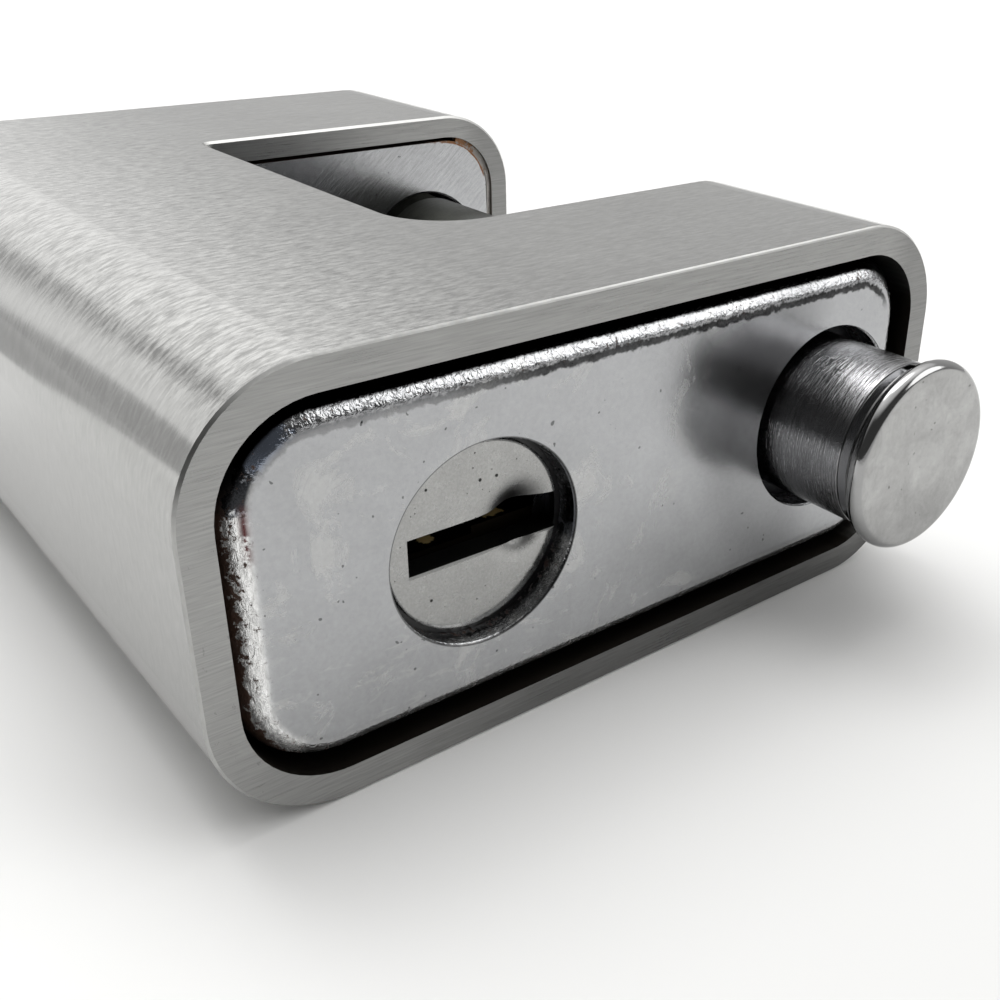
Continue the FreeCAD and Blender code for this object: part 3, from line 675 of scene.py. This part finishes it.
def plain_steel(name, r, g, b):
    """Turned steel with faint clouds."""
    f = Finish(name, Metallic=1.0)
    cloud = f.noise(f.place, 0.9, 3.0)
    return f.set(Base_Color=f.tint(rgb(r, g, b), cloud * 0.3 + 0.85), Roughness=cloud * 0.15 + 0.25)


finishes = {
    "sleeve_steel": brushed_sleeve(),
    "core_plate": plated_core(),
    "bolt_steel": turned_bolt(),
    "disc_steel": pitted_disc(),
    "cylinder_brass": machined_brass("machined_brass", 0.72, 0.56, 0.26),
    "pin_brass": machined_brass("turned_brass", 0.74, 0.60, 0.32),
    "pin_steel": plain_steel("turned_steel", 0.5, 0.5, 0.5),
    # The spring wire is nearly black: painted shade for the disc's ring, which sits in the dark gap round the
    # disc.
    "spring_wire": plain_steel("drawn_wire", 0.06, 0.06, 0.06),
}
for part in frame["record"]["subparts"]:
    mesh = nodes[part["node"]].data
    mesh.materials.clear()
    mesh.materials.append(finishes[part["material_slot"]])

make_plating("core_plating_front", 1)
make_plating("core_plating_back", -1)
make_gap_dirt()
make_bolt_bar()
make_key_disc()


def matt_floor():
    """Matt and pale, with painted shade that makes it a little darker by the key end, and grey well beyond both
    ends of the lock.
    """
    f = Finish("matt_floor", Roughness=0.7)
    past_far_end = (f.y - f.x * 0.62).rise(-1.0, 7.0) * f.x.rise(-96.0, -106.0) * f.y.rise(20.0, -20.0)
    beyond = past_far_end.larger(f.x.rise(130.0, 210.0))
    # Painted shade: the floor is darker in front of the key end.
    pale = f.blend(f.x.rise(35.0, 95.0), rgb(0.86, 0.86, 0.855), rgb(0.76, 0.76, 0.755))
    return f.set(Base_Color=f.blend(beyond, pale, rgb(0.43, 0.43, 0.43)))


def make_floor():
    """A wide flat floor under the lock."""
    r = 6000.0
    floor = make_mesh("floor", [(-r, -r, 0), (r, -r, 0), (r, r, 0), (-r, r, 0)], [(0, 1, 2, 3)])
    floor.data.materials.append(matt_floor())


def make_room():
    """Soft daylight: bright beyond the lock and above, dim on the camera's side.

    The band, the dim part below and the patches are what the steel mirrors in its bands and highlights.
    """
    world = bpy.data.worlds.new("soft_room")
    bpy.context.scene.world = world
    world.use_nodes = True
    room = Nodes(world.node_tree)
    way = room.node("ShaderNodeTexCoord", output="Generated")
    x, y, z = [room.node("ShaderNodeSeparateXYZ", {}, [way], output=axis) for axis in "XYZ"]

    def patch(direction, outer, inner):
        """1 within inner degrees of a direction, 0 beyond outer degrees."""
        d = Vector(direction).normalized()
        near = x * d.x + y * d.y + z * d.z
        return near.rise(math.cos(math.radians(outer)), math.cos(math.radians(inner)))

    behind = (y * 0.5 - x * 0.87).rise(-0.45, 0.50)
    edge = (y - 0.2).larger(0.0) * 0.75 + 0.17
    above = (z - edge).rise(-0.11, 0.06).larger((-y).rise(0.10, 0.22))
    light = (behind * (above * 0.54 + 0.49) + 0.08) * (1 - (-y).rise(0.05, 0.25) * 0.10)
    left, up, far = y / x, -z / x, (-x).rise(0.4, 0.6)
    band = abs(left - 0.228).rise(0.070, 0.050) * up.rise(0.75, 0.60) * far
    below = ((left - 0.342) * 1.85).smaller(0.225) - up
    light = light * (1 - band * 0.42) * (1 - below.rise(-0.015, 0.015) * far * 0.50)
    light = light + z.rise(0.68, 0.92) * 0.85 + patch((-0.19, 0.14, 1.0), 20, 12) * 2.6
    light = light + patch((0.56, 0.60, 0.42), 22, 15) * 2.5 + patch((-0.50, -0.03, 0.87), 16, 8) * 3.4
    colour = room.node("ShaderNodeBackground", {}, {"Color": (1.0, 0.998, 0.99, 1.0), "Strength": light})
    room.node("ShaderNodeOutputWorld", {}, {"Surface": colour}, output=None)


def make_camera():
    """The photo's view: a fitted place, direction, small roll and focal length."""
    place = (0.10324, -0.03353, 0.05546)
    azimuth, elevation, roll = 2.4516, -0.4707, 0.0179
    film_width, focal_share = 36.0, 1.1894
    shift_across, shift_up = -0.0911, -0.0008
    level = math.cos(elevation)
    ahead = Vector((level * math.cos(azimuth), level * math.sin(azimuth), math.sin(elevation)))
    right = ahead.cross(Vector((0, 0, 1))).normalized()
    up = right.cross(ahead)
    side = math.cos(roll) * right + math.sin(roll) * up
    top = -math.sin(roll) * right + math.cos(roll) * up
    data = bpy.data.cameras.new("photo_camera")
    data.sensor_width = film_width
    data.lens = film_width * focal_share
    data.shift_x = shift_across
    data.shift_y = shift_up
    data.clip_start = 0.005
    camera = bpy.data.objects.new("photo_camera", data)
    bpy.context.scene.collection.objects.link(camera)
    turn = Matrix((side, top, -ahead)).transposed().to_4x4()
    camera.matrix_world = Matrix.Translation(place) @ turn
    bpy.context.scene.camera = camera


make_floor()
make_room()
make_camera()
bpy.context.scene.view_settings.view_transform = "Standard"
